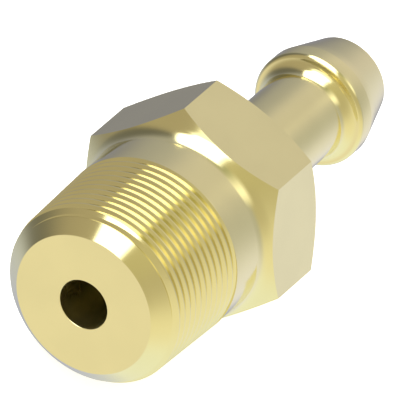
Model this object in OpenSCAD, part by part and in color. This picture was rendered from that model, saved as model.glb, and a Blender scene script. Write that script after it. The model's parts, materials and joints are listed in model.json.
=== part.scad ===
// Brass hose insert with a taper pipe thread, a hexagon and one push-on barb, in millimetres.
// The axis runs along +X, from the flat thread end at the origin to the tip of the barb.
// The hexagon lies on a flat, with its two side corners along Y.

/* [Bore] */
// Diameter of the straight hole through the insert
bore_diameter = 4.76; // [2:0.01:7.5]

/* [Pipe thread] */
// Diameter over the thread crests where they would reach the end face
thread_diameter = 17.05; // [14.5:0.01:18]
// Growth of the thread diameter for each unit of length
thread_taper = 0.0625; // [0:0.0005:0.1]
// Length of the threaded part from the end face
thread_length = 11.44; // [6:0.01:18]
// Distance between two turns
thread_pitch = 0.873; // [0.6:0.001:1.6]
// Full angle between the two flanks of a groove
thread_angle = 60; // [50:1:70]
// Width of plain crest that is left behind the last turn
thread_last_crest = 0.4; // [0.1:0.01:1]
// Diameter of the flat end face inside the nose chamfer
face_diameter = 13.5; // [10:0.01:16]
// Angle of the nose chamfer to the axis
nose_angle = 45; // [30:1:60]

/* [Neck] */
// Diameter of the plain neck between thread and hexagon
neck_diameter = 17.69; // [14:0.01:18.6]
// Length from the end of the thread to the start of the hexagon's flats
neck_length = 5.09; // [2:0.01:10]
// Radius of the hollow corner where the neck runs out into the hexagon
neck_fillet = 2; // [0.2:0.05:2.5]

/* [Hexagon] */
// Width of the hexagon across its flats
hex_across_flats = 19.05; // [18.8:0.01:26]
// Length of the flats along the middle of each one
hex_length = 7.64; // [4:0.01:14]
// Slope of the front chamfer, measured from a plane square to the axis
front_chamfer_angle = 35; // [15:1:45]
// Slope of the rear chamfer, measured from a plane square to the axis
rear_chamfer_angle = 30; // [15:1:45]
// Diameter of the flat rear face inside the rear chamfer
rear_face_diameter = 18.5; // [12:0.01:18.7]

/* [Hose stem] */
// Diameter of the stem that the hose slides over
stem_diameter = 8.25; // [6:0.01:10.6]
// Length from the rear edge of the flats to the start of the barb's land
stem_length = 15.61; // [8:0.01:30]

/* [Barb] */
// Largest diameter of the barb
barb_diameter = 11.09; // [9:0.01:14]
// Length of the short cylinder at the barb's largest diameter
land_length = 1.32; // [0.3:0.01:4]
// Length of the lead-in cone from the land to the tip
cone_length = 4.8; // [2:0.01:12]
// Outside diameter of the barb's tip
tip_diameter = 8.29; // [5.6:0.01:10]
// Lean of the barb's shoulder, 90 being square to the axis
shoulder_angle = 75; // [45:1:88]
// Radius of the hollow corner between stem and shoulder
shoulder_fillet = 1.35; // [0.1:0.05:2.5]
// Radius of the rounded edge between shoulder and land
shoulder_round = 0.5; // [0.05:0.05:1.5]

/* [Hidden] */
$fn = 96;

bore_r = bore_diameter / 2;
neck_r = neck_diameter / 2;
stem_r = stem_diameter / 2;
barb_r = barb_diameter / 2;
tip_r = tip_diameter / 2;
flat_r = hex_across_flats / 2;
corner_r = flat_r / cos(30);
rear_face_r = rear_face_diameter / 2;

// Stations along the axis, each one built on the one before it.
flats_start = thread_length + neck_length;
flats_end = flats_start + hex_length;
land_start = flats_end + stem_length;
land_end = land_start + land_length;
total_length = land_end + cone_length;

// The nose chamfer stops where its cone meets the tapered crest.
thread_r = thread_diameter / 2;
face_r = face_diameter / 2;
nose_length = (thread_r - face_r) / (tan(nose_angle) - thread_taper / 2);

// Each turn keeps a narrow flat crest and a flat root, as shares of the pitch.
crest_share = 1 / 8;
root_share = 1 / 4;
root_half = root_share * thread_pitch / 2;
groove_half = (1 - crest_share) * thread_pitch / 2;
thread_depth = (groove_half - root_half) / tan(thread_angle / 2);

// Grooves are counted back from the last turn, as far as the crest is whole.
last_groove_at = thread_length - thread_last_crest - groove_half;
whole_crest = last_groove_at - groove_half - nose_length;
groove_count = floor(whole_crest / thread_pitch) + 1;

// The neck's hollow corner is an arc that is tangent to the neck and to the front chamfer.
neck_turn = 90 - front_chamfer_angle;
neck_corner_at = flats_start - (flat_r - neck_r) * tan(front_chamfer_angle);
neck_arc_at = neck_corner_at - neck_fillet * tan(neck_turn / 2);

// Both shoulder radii shrink together where the step is too low to hold them and a short
// straight piece between them.
straight_share = 0.03;
step_height = barb_r - stem_r;
turn_share = 1 - cos(shoulder_angle);
round_height = (shoulder_fillet + shoulder_round) * turn_share;
shoulder_fit = min(1, step_height * (1 - straight_share) / round_height);
hollow_r = shoulder_fillet * shoulder_fit;
edge_r = shoulder_round * shoulder_fit;

// The shoulder leans from the hollow arc at the stem to the rounded edge at the land.
shoulder_run = step_height / tan(shoulder_angle);
shoulder_reach = (hollow_r + edge_r) * tan(shoulder_angle / 2);
stem_end = land_start - shoulder_run - shoulder_reach;

// Straight pieces that each rounded corner is drawn with.
arc_steps = 12;

function crest(at) = thread_r + at * thread_taper / 2;

function front_cone(r) = flats_start + (r - flat_r) * tan(front_chamfer_angle);

function rear_cone(r) = flats_end + (flat_r - r) * tan(rear_chamfer_angle);

function groove(at) = [
    [crest(at - groove_half), at - groove_half],
    [crest(at) - thread_depth, at - root_half],
    [crest(at) - thread_depth, at + root_half],
    [crest(at + groove_half), at + groove_half]
];

// Points along an arc between two angles, where 0 points straight out from the axis.
function arc(centre, r, from, to) = [
    for (i = [0:arc_steps])
        let (angle = from + (to - from) * i / arc_steps)
            centre + r * [cos(angle), sin(angle)]
];

// Profiles are drawn as radius across and station along the axis upwards.
module stem_and_thread_profile() {
    nose = [[0, 0], [face_r, 0], [crest(nose_length), nose_length]];
    turns = [
        for (i = [groove_count - 1:-1:0])
            each groove(last_groove_at - i * thread_pitch)
    ];
    thread_end = [[crest(thread_length), thread_length], [stem_r, thread_length]];
    hollow = arc([stem_r + hollow_r, stem_end], hollow_r, 180, 180 - shoulder_angle);
    edge = arc([barb_r - edge_r, land_start], edge_r, -shoulder_angle, 0);
    tip = [[barb_r, land_end], [tip_r, total_length], [0, total_length]];
    polygon(concat(nose, turns, thread_end, hollow, edge, tip));
}

// The neck and the two chamfer cones that the hexagon bar is turned to.
module neck_and_chamfer_profile() {
    outer_r = corner_r + neck_fillet;
    neck = [[0, thread_length], [neck_r, thread_length]];
    hollow = arc([neck_r + neck_fillet, neck_arc_at], neck_fillet, 180, 180 - neck_turn);
    front = [[outer_r, front_cone(outer_r)]];
    rear = [for (r = [outer_r, rear_face_r]) [r, rear_cone(r)]];
    polygon(concat(neck, hollow, front, rear, [[0, rear_cone(rear_face_r)]]));
}

module hexagon_and_neck() {
    intersection() {
        rotate(30) cylinder(r = corner_r, h = total_length, $fn = 6);
        rotate_extrude() neck_and_chamfer_profile();
    }
}

module hose_insert() {
    color("goldenrod")
    rotate([0, 90, 0])
    difference() {
        union() {
            rotate_extrude() stem_and_thread_profile();
            hexagon_and_neck();
        }
        translate([0, 0, -total_length / 2]) cylinder(r = bore_r, h = 2 * total_length);
    }
}

hose_insert();
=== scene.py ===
import json
import math

import bpy
import numpy as np
from mathutils import Matrix, Vector

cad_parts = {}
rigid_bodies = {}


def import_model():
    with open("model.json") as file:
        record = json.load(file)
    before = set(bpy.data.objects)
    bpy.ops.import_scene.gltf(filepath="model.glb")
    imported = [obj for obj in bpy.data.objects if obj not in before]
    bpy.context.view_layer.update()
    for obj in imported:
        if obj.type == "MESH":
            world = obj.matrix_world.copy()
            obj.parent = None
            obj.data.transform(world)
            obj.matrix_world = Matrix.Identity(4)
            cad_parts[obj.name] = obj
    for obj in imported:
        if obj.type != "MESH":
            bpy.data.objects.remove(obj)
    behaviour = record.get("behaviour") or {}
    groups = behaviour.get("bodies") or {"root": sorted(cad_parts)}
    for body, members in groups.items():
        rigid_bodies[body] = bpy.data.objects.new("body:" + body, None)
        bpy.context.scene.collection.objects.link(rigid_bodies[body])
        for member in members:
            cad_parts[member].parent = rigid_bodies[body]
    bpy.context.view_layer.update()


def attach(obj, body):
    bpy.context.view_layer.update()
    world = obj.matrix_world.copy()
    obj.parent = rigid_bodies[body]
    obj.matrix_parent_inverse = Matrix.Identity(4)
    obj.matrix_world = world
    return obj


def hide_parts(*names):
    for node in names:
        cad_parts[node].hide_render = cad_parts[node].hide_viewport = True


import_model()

print("hose insert: packed solid loaded")


# One output socket, wrapped so that shader maths reads like Python.
class Wire:
    def __init__(self, shader, socket):
        self.shader, self.socket = shader, socket

    def combine(self, operation, first, second):
        return self.shader.node("ShaderNodeMath", {"operation": operation}, {0: first, 1: second})

    # Another output of the same node.
    def output(self, name):
        return Wire(self.shader, self.socket.node.outputs[name])

    def __add__(self, other): return self.combine("ADD", self, other)
    def __radd__(self, other): return self.combine("ADD", other, self)
    def __sub__(self, other): return self.combine("SUBTRACT", self, other)
    def __rsub__(self, other): return self.combine("SUBTRACT", other, self)
    def __mul__(self, other): return self.combine("MULTIPLY", self, other)
    def __rmul__(self, other): return self.combine("MULTIPLY", other, self)
    def __truediv__(self, other): return self.combine("DIVIDE", self, other)
    def __rtruediv__(self, other): return self.combine("DIVIDE", other, self)


class Shader:
    def __init__(self, tree):
        self.tree = tree
        tree.nodes.clear()

    # Every node comes from here: its settings are set first, then its sockets' values or links.
    def node(self, kind, settings={}, values={}, output=0):
        made = self.tree.nodes.new(kind)
        for name, value in settings.items():
            setattr(made, name, value)
        for name, value in values.items():
            if isinstance(value, Wire):
                self.tree.links.new(value.socket, made.inputs[name])
            else:
                made.inputs[name].default_value = value
        return Wire(self, made.outputs[output]) if len(made.outputs) else None

    def vector(self, operation, first, second, output="Vector"):
        values = {0: first, 1: second}
        return self.node("ShaderNodeVectorMath", {"operation": operation}, values, output)

    def scale(self, vector, factor):
        values = {0: vector, 3: factor}
        return self.node("ShaderNodeVectorMath", {"operation": "SCALE"}, values)

    def noise(self, place, scale, detail):
        values = {"Vector": place, "Scale": scale, "Detail": detail}
        return self.node("ShaderNodeTexNoise", {}, values)

    def mixColour(self, share, first, second):
        values = {0: share, 6: first, 7: second}
        return self.node("ShaderNodeMix", {"data_type": "RGBA"}, values, 2)

    def ease(self, value, low, high, start=0.0, end=1.0):
        settings = {"interpolation_type": "SMOOTHSTEP"}
        values = {0: value, 1: low, 2: high, 3: start, 4: end}
        return self.node("ShaderNodeMapRange", settings, values)


# Lengths in millimetres, the same as the solid's.
insert = {
    "boreRadius": 2.38,
    "faceRadius": 6.75,
    "threadRadius": 8.525,      # crest radius carried down to the end face
    "threadTaper": 0.03125,     # growth of that radius along the axis
    "threadEnd": 11.44,
    "pitch": 0.873,
    "grooveDepth": 0.614,
    "rootHalf": 0.0273,         # half the flat bottom of the groove
    "flankSlope": math.sqrt(3), # rise over run of a 60 degree groove
    "firstGroove": 2.258,       # where the first whole groove crosses startAngle
    "startAngle": 100.9,
    "lastTurns": (10.2, 10.5),  # turns of groove between which its depth dies out
    "neckRadius": 8.845,
    "neckFillet": 2.0,
    "flatRadius": 9.525,
    "flatsStart": 16.53,
    "flatsEnd": 24.17,
    "frontAngle": 35.0,
    "rearAngle": 30.0,
    "rearFaceRadius": 9.25,
    "stemRadius": 4.125,
    "barbRadius": 5.545,
    "landStart": 39.78,
    "landEnd": 41.1,
    "length": 45.9,
    "tipRadius": 4.145,
    "shoulderAngle": 75.0,
    "shoulderFillet": 1.35,
    "shoulderRound": 0.5,
    "edgeBreak": 0.04,
    "faceLift": 0.012,          # how far the edge of the end face is eased along the axis
    "landFall": 0.3,            # fall of the land's eased edge, as a share of edgeBreak
    "sharpAngle": 12.0,         # edges that turn by more than this stay sharp
    # Rows of the mesh between those edges.
    "columns": 360,
    "faceRings": (3.2, 4.6, 6.0),
    "noseRings": (0.5, 0.9),
    "threadRowsFrom": 1.1,
    "threadTurns": (-2, 13),
    "noseLevel": 1.55,
    "cornerBand": 0.03,
    "neckRings": (12.4, 13.4),
    "hollowRows": 15,
    "frontShares": (0.3, 0.6, 0.85, 1.0),
    "flatShares": (0.25, 0.5, 0.75),
    "rearShares": (0.0, 0.4, 0.8, 1.0),
    "rearRings": (8.0, 6.5, 5.2, 4.3),
    "stemGap": 0.1,
    "stemRings": (27, 30, 33, 36),
    "filletSteps": 16,
    "roundSteps": 12,
    "coneRings": (42.3, 43.5, 44.7),
    "tipRing": 3.2,
    "boreRings": (30, 15),
}


# The crest's radius at the end face, plus the taper times the way along the axis.
def crestRadius(x):
    return insert["threadRadius"] + insert["threadTaper"] * x


# Three times the square less twice the cube of the way from low to high, held between 0 and 1.
def smoothStep(x, low, high):
    t = np.clip((x - low) / (high - low), 0, 1)
    return t * t * (3 - 2 * t)


# Radius over the threaded part: the lowest of the nose cone, the tapered crest and the nearest
# turn of one right-hand groove with sloping flanks and a narrow root. The groove's centre moves
# one pitch along the axis for each turn, so its first turn cuts into the nose by itself.
def threadSurface(x, angle):
    p = insert
    turn = (angle - p["startAngle"]) / 360
    centre = p["firstGroove"] + p["pitch"] * turn
    nearest = np.round((x - centre) / p["pitch"])
    away = np.abs(x - centre - nearest * p["pitch"])
    depth = p["grooveDepth"] * (1 - smoothStep(nearest + turn, *p["lastTurns"]))
    crest = crestRadius(x)
    flank = crest - depth + p["flankSlope"] * np.maximum(away - p["rootHalf"], 0)
    return np.minimum(p["faceRadius"] + x, np.minimum(crest, flank))


# An arc of the profile: its centre, plus its radius times the sine along the axis and the
# cosine away from it, from one turning angle to another.
def arcRows(centreX, centreR, radius, first, last, steps):
    angles = np.radians(np.linspace(first, last, steps + 1))
    return [(centreX + radius * math.sin(a), centreR + radius * math.cos(a)) for a in angles]


# The whole skin as one grid: rows run along the profile from the end face over the outside to
# the tip and back through the bore, columns run once round the axis.
def insertGrid():
    p = insert
    bore, face, stem, barb = p["boreRadius"], p["faceRadius"], p["stemRadius"], p["barbRadius"]
    angle = np.linspace(-90, 270, p["columns"] + 1)
    rows = []

    def rings(pairs):
        for x, r in pairs:
            rows.append((x + 0 * angle, r + 0 * angle))

    e = p["edgeBreak"]
    rings([(e, bore), (0, bore + e)])
    rings([(0, r) for r in p["faceRings"]])
    rings([(0, face - e / 2), (p["faceLift"], face + e / 2)])
    rings([(x, face + x) for x in p["noseRings"]])

    # Thread rows: helical ones that lie exactly on the groove's edges, root and flanks, and
    # level ones round the nose's corner, put in order along the axis in every column.
    start, end = p["threadRowsFrom"], p["threadEnd"]
    root, slope, taper = p["rootHalf"], p["flankSlope"], p["threadTaper"]
    half = root + p["grooveDepth"] / slope
    offsets = np.array([-p["pitch"] / 2, -half, -half / 2, -root, 0, root, half / 2, half])
    turns = np.arange(*p["threadTurns"])
    centres = p["firstGroove"] + p["pitch"] * (turns[:, None] + (angle - p["startAngle"]) / 360)
    helical = (centres[:, None, :] + offsets[:, None]).reshape(-1, angle.size)
    corner = (p["threadRadius"] - face) / (1 - taper)
    low = p["threadRadius"] - p["grooveDepth"] - face
    leftCut = np.clip((low + slope * (centres - root)) / (1 - taper + slope), start, corner)
    rightCut = np.clip((slope * (centres + root) - low) / (slope - 1 + taper), start, corner)
    band = p["cornerBand"]
    levels = [low / (1 - taper), p["noseLevel"], corner - band, corner, corner + band]
    level = np.array(levels)[:, None] + 0 * angle
    stations = np.vstack([np.clip(helical, start, end), leftCut, rightCut, level])
    stations = np.round(np.sort(stations, axis=0), 5)
    rows.extend(zip(stations, threadSurface(stations, angle)))

    # Neck and the hollow corner, tangent to the neck and to the front cone.
    turn = 90 - p["frontAngle"]
    tanFront = math.tan(math.radians(p["frontAngle"]))
    cornerAt = p["flatsStart"] - (p["flatRadius"] - p["neckRadius"]) * tanFront
    arcAt = cornerAt - p["neckFillet"] * math.tan(math.radians(turn / 2))
    rings([(end, crestRadius(end)), (end + e / 2, p["neckRadius"])])
    rings([(x, p["neckRadius"]) for x in p["neckRings"]])

    # Hexagon: six planes. They cut the hollow's arc where they are low and the front cone where
    # they are high, so each column turns along the arc only until it meets its plane.
    flat = p["flatRadius"] / np.cos(np.radians(angle % 60 - 30))
    meets = np.arccos(np.clip(1 - (flat - p["neckRadius"]) / p["neckFillet"], -1, 1))
    last = np.minimum(meets, math.radians(turn))
    for share in np.linspace(0, 1, p["hollowRows"]):
        x = arcAt + p["neckFillet"] * np.sin(share * last)
        rows.append((x, p["neckRadius"] + p["neckFillet"] * (1 - np.cos(share * last))))
    hollowX, hollowR = rows[-1]
    for share in p["frontShares"]:
        r = hollowR + share * (flat - hollowR)
        rows.append((hollowX + (r - hollowR) * tanFront, r))
    tanRear = math.tan(math.radians(p["rearAngle"]))
    rearEdge = p["flatsEnd"] - (flat - p["flatRadius"]) * tanRear
    frontEdge = rows[-1][0]
    for share in p["flatShares"]:
        rows.append((frontEdge + share * (rearEdge - frontEdge), flat))
    for share in p["rearShares"]:
        r = flat + share * (p["rearFaceRadius"] - flat)
        rows.append((p["flatsEnd"] - (r - p["flatRadius"]) * tanRear, r))
    rear = p["flatsEnd"] + (p["flatRadius"] - p["rearFaceRadius"]) * tanRear
    rings([(rear, r) for r in (*p["rearRings"], stem)])

    # Stem and shoulder: the hollow arc leaves the stem, leans, and turns over into the land.
    lean, fillet, edge = p["shoulderAngle"], p["shoulderFillet"], p["shoulderRound"]
    run = (barb - stem) / math.tan(math.radians(lean))
    reach = (fillet + edge) * math.tan(math.radians(lean / 2))
    stemEnd = p["landStart"] - run - reach
    rings([(x, stem) for x in (rear + p["stemGap"], *p["stemRings"])])
    rings(arcRows(stemEnd, stem + fillet, fillet, 180, 180 - lean, p["filletSteps"]))
    rings(arcRows(p["landStart"], barb - edge, edge, -lean, 0, p["roundSteps"]))

    # Land, lead-in cone, tip, and back through the bore.
    tip = p["length"]
    rings([(p["landEnd"] - e, barb), (p["landEnd"] + e, barb - p["landFall"] * e)])
    fall = (barb - p["tipRadius"]) / (tip - p["landEnd"])
    rings([(x, barb - fall * (x - p["landEnd"])) for x in (*p["coneRings"], tip - e)])
    rings([(tip, p["tipRadius"] - e), (tip, p["tipRing"]), (tip, bore + e), (tip - e, bore)])
    rings([(x, bore) for x in (*p["boreRings"], e)])
    x = np.array([row[0] for row in rows])
    r = np.array([row[1] for row in rows])
    return x, r, np.radians(angle)


# A point lies at its station along X and at its radius times the cosine and sine of its column's
# angle along Y and Z. Points are merged where they meet, and faces that shrink to a line are
# dropped.
def meshFromGrid(name, x, r, angle):
    points = np.stack([x, r * np.cos(angle), r * np.sin(angle)], axis=-1).reshape(-1, 3)
    rounded = np.round(points, 4)
    _, first, index = np.unique(rounded, axis=0, return_index=True, return_inverse=True)
    index = index.reshape(x.shape)
    corners = [index[:-1, :-1], index[:-1, 1:], index[1:, 1:], index[1:, :-1]]
    quads = np.stack(corners, axis=-1).reshape(-1, 4)
    repeated = quads == np.roll(quads, -1, axis=1)
    whole = quads[repeated.sum(axis=1) == 0]
    single = repeated.sum(axis=1) == 1
    triangles = quads[single][~repeated[single]].reshape(-1, 3)
    mesh = bpy.data.meshes.new(name)
    metres = points[first] / 1000
    mesh.from_pydata(metres.tolist(), [], whole.tolist() + triangles.tolist())
    mesh.shade_smooth()
    mesh.set_sharp_from_angle(angle=math.radians(insert["sharpAngle"]))
    piece = bpy.data.objects.new(name, mesh)
    bpy.context.scene.collection.objects.link(piece)
    return piece


stations, radii, angles = insertGrid()
body = meshFromGrid("turned_body", stations, radii, angles)
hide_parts("hose_insert")
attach(body, "root")
print("turned body:", len(body.data.polygons), "faces")


brass = {
    "colour": (0.88, 0.8, 0.43),
    "tintRange": (0.98, 1.015),
    "roughness": 0.13,
    "roughnessSpread": 0.03,
    "boreRoughness": 0.28,      # the drilled bore is duller than what the lathe finished
    "boreEdge": (0.06, 0.02),   # above the bore's radius, in millimetres
    "turningHeight": 0.0000025, # metres
    "turningLines": 5.0,        # noise cells in a millimetre, as the next two
    "grainHeight": 0.000003,
    "grainLines": (0.25, 4.0),  # along and across the bar
    "cloudCells": 0.22,
    "cloudRange": (0.3, 0.7),
    # Where the bar's grain shows: its start, its end and its least distance from the axis.
    "grainStart": (17.0, 17.6),
    "grainEnd": (24.4, 24.1),
    "grainInner": (9.3, 9.5),
}


def makeBrass():
    b = brass
    material = bpy.data.materials.new("turned_brass")
    material.use_nodes = True
    s = Shader(material.node_tree)
    millimetres = s.scale(s.node("ShaderNodeTexCoord", output="Object"), 1000.0)
    along = s.node("ShaderNodeSeparateXYZ", {}, {0: millimetres})
    across, upward = along.output("Y"), along.output("Z")
    squares = across * across + upward * upward
    fromAxis = s.node("ShaderNodeMath", {"operation": "SQRT"}, {0: squares})

    # Fine rings left by the turning tool: noise that changes along the profile, not round it.
    fine = b["turningLines"]
    ringPlace = s.node("ShaderNodeCombineXYZ", {}, {0: along * fine, 1: fromAxis * fine})
    rings = s.noise(ringPlace, 1.0, 3.0)
    # Lengthwise grain of the drawn bar on the hexagon's flats.
    long, close = b["grainLines"]
    grainValues = {0: along * long, 1: across * close, 2: upward * close}
    grain = s.noise(s.node("ShaderNodeCombineXYZ", {}, grainValues), 1.0, 4.0)
    onHexagon = s.ease(along, *b["grainStart"]) * s.ease(along, *b["grainEnd"])
    onHexagon = onHexagon * s.ease(fromAxis, *b["grainInner"])

    cloud = s.noise(millimetres, b["cloudCells"], 2.0)
    colour = s.scale(b["colour"], s.ease(cloud, *b["cloudRange"], *b["tintRange"]))
    middle, spread = b["roughness"], b["roughnessSpread"]
    rough = s.ease(cloud, *b["cloudRange"], middle - spread / 2, middle + spread / 2)
    outer, inner = [insert["boreRadius"] + width for width in b["boreEdge"]]
    inBore = s.ease(fromAxis, outer, inner)
    rough = rough + (rings - 0.5) * spread + inBore * (b["boreRoughness"] - middle)

    height = rings * (1 - onHexagon) * b["turningHeight"] + grain * onHexagon * b["grainHeight"]
    bump = s.node("ShaderNodeBump", {}, {"Strength": 1.0, "Distance": 1.0, "Height": height})
    values = {"Base Color": colour, "Metallic": 1.0, "Roughness": rough, "Normal": bump}
    s.node("ShaderNodeOutputMaterial", {}, {0: s.node("ShaderNodeBsdfPrincipled", {}, values)})
    return material


body.data.materials.append(makeBrass())
print("brass made")


studio = {
    # Soft light from all round: azimuth from +X toward +Y, elevation, and colour.
    "glows": {
        "ceiling": (180, 60, (0.6, 0.55, 0.35)),
        "leftWall": (-110, 30, (0.55, 0.5, 0.35)),
        "leftHorizon": (-105, -5, (0.95, 0.9, 0.7)),
        "overBarb": (0, 35, (0.8, 0.75, 0.8)),
        "overStem": (0, 65, (0.4, 0.4, 0.25)),
        "pastBarb": (-45, 15, (0.5, 0.5, 0.5)),
        "leftOfBarb": (-40, -15, (0.9, 0.9, 1.05)),
        "rightOfBarb": (35, 5, (0.45, 0.45, 0.5)),
        "rightWall": (80, -10, (0.15, 0.15, 0.15)),
        "rightOfCamera": (130, 0, (0.45, 0.4, 0.3)),
        "floorFront": (170, -45, (0.9, 0.85, 0.75)),
        "floorLeft": (-90, -45, (0.95, 1.0, 1.0)),
        "floorRight": (50, -60, (0.7, 0.75, 0.95)),
        "floorCorner": (30, -30, (0.2, 0.2, 0.25)),
    },
    "glowSharpness": 12.0,
    # Soft boxes hung flat above: from and to along X and along Y as shares of their height, how
    # far X shifts with Y, the softness of the edge, and the colour.
    "softBoxes": [
        ((-1.45, 0.3), (0.1, 1.4), 0.65, 0.1, (3.0, 3.0, 3.0)),
        ((-1.35, -0.75), (0.1, 1.05), 0.0, 0.1, (3.0, 3.0, 2.9)),
        ((-2.4, -1.25), (0.1, 1.25), 0.0, 0.15, (1.6, 1.6, 1.4)),
        ((-0.1, 1.0), (-0.8, -0.3), 0.0, 0.3, (1.4, 1.35, 1.15)),
    ],
    "boxHorizon": (0.02, 0.1),  # the boxes fade out toward the horizon
    "white": (1, 1, 1, 1),
    "floorColour": (0.8, 0.8, 0.8, 1),
    "floorLevel": -9.525,       # millimetres
    "floorSize": 3.0,           # metres from its middle to a side
    "floorGlow": 0.75,
    # Lamp for the shadow on the floor: place in metres, side of its square and brightness.
    "lampPlace": (0.0, 0.45, 0.85),
    "lampSide": 0.5,
    "lampBrightness": 0.6,
}


# Light by direction: each glow counts with exp(sharpness * (cosine - 1)), and the sum is divided
# by the sum of those weights. The soft boxes lie over it.
def lightColour(s, direction):
    total = weights = None
    for azimuth, elevation, colour in studio["glows"].values():
        a, e = math.radians(azimuth), math.radians(elevation)
        way = (math.cos(a) * math.cos(e), math.sin(a) * math.cos(e), math.sin(e))
        near = s.vector("DOT_PRODUCT", direction, way, "Value")
        power = (near - 1) * studio["glowSharpness"]
        weight = s.node("ShaderNodeMath", {"operation": "EXPONENT"}, {0: power})
        part = s.scale(colour, weight)
        total = part if total is None else s.vector("ADD", total, part)
        weights = weight if weights is None else weights + weight
    light = s.scale(total, 1 / weights)
    along = s.node("ShaderNodeSeparateXYZ", {}, {0: direction})
    upward = along.output("Z")
    overX, overY = along / upward, along.output("Y") / upward
    for alongX, alongY, shift, soft, colour in studio["softBoxes"]:
        mask = s.ease(upward, *studio["boxHorizon"])
        for place, (low, high) in ((overX - overY * shift, alongX), (overY, alongY)):
            mask = mask * s.ease(place, low - soft, low + soft)
            mask = mask * s.ease(place, high + soft, high - soft)
        light = s.mixColour(mask, light, (*colour, 1))
    return light


# The camera sees plain white. Every other ray sees the light by direction.
def makeWorld():
    world = bpy.data.worlds.new("studio_world")
    bpy.context.scene.world = world
    world.use_nodes = True
    s = Shader(world.node_tree)
    direction = s.node("ShaderNodeTexCoord", output="Generated")
    seen = s.node("ShaderNodeLightPath", output="Is Camera Ray")
    soft = s.node("ShaderNodeBackground", {}, {0: lightColour(s, direction), 1: 1.0})
    white = s.node("ShaderNodeBackground", {}, {0: studio["white"], 1: 1.0})
    both = s.node("ShaderNodeMixShader", {}, {0: seen, 1: soft, 2: white})
    s.node("ShaderNodeOutputWorld", {}, {0: both})


# Mirroring rays pass through the floor to the light below it, so what the metal shows of it is
# the light by direction too. The camera sees a white floor with the object's shadow.
def makeFloor():
    size, level = studio["floorSize"], studio["floorLevel"] / 1000
    mesh = bpy.data.meshes.new("floor")
    sides = [(-size, -size), (size, -size), (size, size), (-size, size)]
    mesh.from_pydata([(x, y, level) for x, y in sides], [], [(0, 1, 2, 3)])
    floor = bpy.data.objects.new("floor", mesh)
    bpy.context.scene.collection.objects.link(floor)
    material = bpy.data.materials.new("studio_floor")
    material.use_nodes = True
    s = Shader(material.node_tree)
    camera = s.node("ShaderNodeLightPath", output="Is Camera Ray")
    mirrored = camera.output("Is Glossy Ray") + camera.output("Is Transmission Ray")
    matt = s.node("ShaderNodeBsdfDiffuse", {}, {0: studio["floorColour"]})
    strength = camera * studio["floorGlow"]
    glow = s.node("ShaderNodeEmission", {}, {0: studio["white"], 1: strength})
    plain = s.node("ShaderNodeAddShader", {}, {0: matt, 1: glow})
    through = s.node("ShaderNodeBsdfTransparent")
    both = s.node("ShaderNodeMixShader", {}, {0: mirrored, 1: plain, 2: through})
    s.node("ShaderNodeOutputMaterial", {}, {0: both})
    mesh.materials.append(material)


# The lamp only throws the soft shadow: what the metal mirrors is the light by direction.
def makeLamp():
    data = bpy.data.lights.new("shadow_lamp", "AREA")
    data.size = studio["lampSide"]
    data.energy = studio["lampBrightness"] * math.pi * studio["lampSide"] ** 2
    lamp = bpy.data.objects.new("shadow_lamp", data)
    lamp.location = studio["lampPlace"]
    lamp.rotation_euler = Vector(studio["lampPlace"]).to_track_quat("Z", "Y").to_euler()
    lamp.visible_camera = lamp.visible_glossy = False
    bpy.context.scene.collection.objects.link(lamp)


makeWorld()
makeFloor()
makeLamp()
print("studio made")


view = {
    "right": (0.5, -0.75, 0.4330),
    "up": (0.4330, 0.6495, 0.625),
    "lens": 1600,
    "width": 0.0352,            # metres across the picture at the object's middle
    "offset": (10.152, 9.117),  # millimetres from the thread end to the picture's centre
    "clip": (0.01, 50),
}


def makeCamera():
    right, up = Vector(view["right"]).normalized(), Vector(view["up"]).normalized()
    back = right.cross(up).normalized()
    up = back.cross(right)
    data = bpy.data.cameras.new("camera")
    data.lens = view["lens"]
    data.clip_start, data.clip_end = view["clip"]
    camera = bpy.data.objects.new("camera", data)
    bpy.context.scene.collection.objects.link(camera)
    middle = (right * view["offset"][0] + up * view["offset"][1]) / 1000
    depth = Vector((insert["length"] / 2000, 0, 0)).dot(back)
    distance = view["width"] * view["lens"] / data.sensor_width
    turn = Matrix((right, up, back)).transposed().to_4x4()
    camera.matrix_world = Matrix.Translation(middle + back * (depth + distance)) @ turn
    bpy.context.scene.camera = camera


makeCamera()
bpy.context.scene.view_settings.view_transform = "Standard"
print("camera made")
